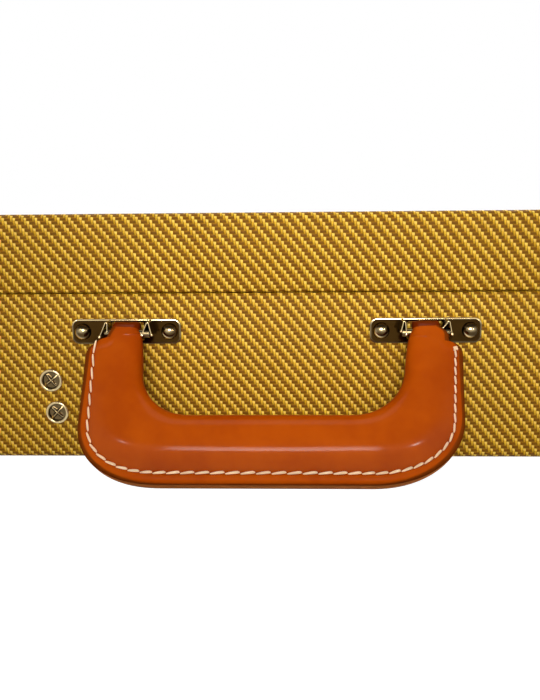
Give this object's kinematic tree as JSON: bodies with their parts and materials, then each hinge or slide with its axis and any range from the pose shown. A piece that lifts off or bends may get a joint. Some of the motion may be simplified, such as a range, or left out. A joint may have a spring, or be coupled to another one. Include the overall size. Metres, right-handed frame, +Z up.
{
  "type": "electric guitar case",
  "caption": "Rectangular tweed hard case for an electric guitar, with a hinged lid, draw latches, a padded bed and a leather handle on nickel brackets.",
  "frame": {"origin": "centre of the flat underside that the closed case lies on", "axes": "+X along the case's length, -Y out of the handle side, +Z up through the lid"},
  "size_m": [1.06, 0.4377, 0.118],
  "materials": {
    "tweed_cloth": "woven 2/2 twill, lacquered",
    "leather": "smooth glossy",
    "nickel_plate": "polished nickel",
    "steel": "plain",
    "plywood": "plain",
    "plush": "short pile over foam",
    "rubber": "matt"
  },
  "bodies": {
    "case_body": {"body_bottom_cloth": "tweed_cloth", "body_side_cloth": "tweed_cloth", "body_rim": "plywood", "body_panel": "plywood", "body_valance": "plywood", "bed_pad": "plush", "neck_rest": "plush", "accessory_box": "plush", "box_lid": "plush", "box_lid_tab": "leather", "bracket_left": "nickel_plate", "bracket_right": "nickel_plate", "bracket_left_rivet_outer": "nickel_plate", "bracket_left_rivet_inner": "nickel_plate", "bracket_right_rivet_inner": "nickel_plate", "bracket_right_rivet_outer": "nickel_plate", "box_rivet_upper": "nickel_plate", "box_rivet_lower": "nickel_plate", "left_outer_latch_base": "nickel_plate", "left_inner_latch_base": "nickel_plate", "right_inner_latch_base": "nickel_plate", "right_outer_latch_base": "nickel_plate", "left_hinge_body_leaf": "nickel_plate", "middle_hinge_body_leaf": "nickel_plate", "right_hinge_body_leaf": "nickel_plate", "left_hinge_pin": "steel", "middle_hinge_pin": "steel", "right_hinge_pin": "steel", "body_foot_left": "rubber", "body_foot_right": "rubber"},
    "lid": {"lid_top_cloth": "tweed_cloth", "lid_side_cloth": "tweed_cloth", "lid_rim": "plywood", "lid_panel": "plywood", "lid_pad": "plush", "left_outer_latch_catch": "nickel_plate", "left_inner_latch_catch": "nickel_plate", "right_inner_latch_catch": "nickel_plate", "right_outer_latch_catch": "nickel_plate", "left_hinge_lid_leaf": "nickel_plate", "middle_hinge_lid_leaf": "nickel_plate", "right_hinge_lid_leaf": "nickel_plate", "lid_foot_left": "rubber", "lid_foot_right": "rubber"},
    "handle": {"handle_leather": "leather", "handle_core": "steel"},
    "left_outer_lever": {"left_outer_latch_lever": "nickel_plate", "left_outer_latch_pin": "steel"},
    "left_outer_link": {"left_outer_latch_link": "nickel_plate"},
    "left_inner_lever": {"left_inner_latch_lever": "nickel_plate", "left_inner_latch_pin": "steel"},
    "left_inner_link": {"left_inner_latch_link": "nickel_plate"},
    "right_inner_lever": {"right_inner_latch_lever": "nickel_plate", "right_inner_latch_pin": "steel"},
    "right_inner_link": {"right_inner_latch_link": "nickel_plate"},
    "right_outer_lever": {"right_outer_latch_lever": "nickel_plate", "right_outer_latch_pin": "steel"},
    "right_outer_link": {"right_outer_latch_link": "nickel_plate"}
  },
  "joints": [
    {"name": "lid_hinge", "type": "hinge", "parent": "case_body", "child": "lid", "pos_m": [0, 0.1934, 0.081], "axis": [-1, 0, 0], "range_deg": [0, 100]},
    {"name": "handle_swing", "type": "hinge", "parent": "case_body", "child": "handle", "pos_m": [0, -0.1972, 0.063], "axis": [-1, 0, 0], "range_deg": [-23, 140]},
    {"name": "left_outer_latch_turn", "type": "hinge", "parent": "case_body", "child": "left_outer_lever", "pos_m": [-0.43, -0.1965, 0.07], "axis": [-1, 0, 0], "range_deg": [0, 110]},
    {"name": "left_inner_latch_turn", "type": "hinge", "parent": "case_body", "child": "left_inner_lever", "pos_m": [-0.215, -0.1965, 0.07], "axis": [-1, 0, 0], "range_deg": [0, 110]},
    {"name": "right_inner_latch_turn", "type": "hinge", "parent": "case_body", "child": "right_inner_lever", "pos_m": [0.215, -0.1965, 0.07], "axis": [-1, 0, 0], "range_deg": [0, 110]},
    {"name": "right_outer_latch_turn", "type": "hinge", "parent": "case_body", "child": "right_outer_lever", "pos_m": [0.43, -0.1965, 0.07], "axis": [-1, 0, 0], "range_deg": [0, 110]},
    {"name": "left_outer_link_turn", "type": "hinge", "parent": "left_outer_lever", "child": "left_outer_link", "pos_m": [-0.43, -0.1955, 0.063], "axis": [-1, 0, 0], "range_deg": [-117, 0]},
    {"name": "left_inner_link_turn", "type": "hinge", "parent": "left_inner_lever", "child": "left_inner_link", "pos_m": [-0.215, -0.1955, 0.063], "axis": [-1, 0, 0], "range_deg": [-117, 0]},
    {"name": "right_inner_link_turn", "type": "hinge", "parent": "right_inner_lever", "child": "right_inner_link", "pos_m": [0.215, -0.1955, 0.063], "axis": [-1, 0, 0], "range_deg": [-117, 0]},
    {"name": "right_outer_link_turn", "type": "hinge", "parent": "right_outer_lever", "child": "right_outer_link", "pos_m": [0.43, -0.1955, 0.063], "axis": [-1, 0, 0], "range_deg": [-117, 0]}
  ],
  "couplings": [
    {"joint": "left_outer_link_turn", "follows": "left_outer_latch_turn", "ratio": -1.06},
    {"joint": "left_inner_link_turn", "follows": "left_inner_latch_turn", "ratio": -1.06},
    {"joint": "right_inner_link_turn", "follows": "right_inner_latch_turn", "ratio": -1.06},
    {"joint": "right_outer_link_turn", "follows": "right_outer_latch_turn", "ratio": -1.06}
  ]
}
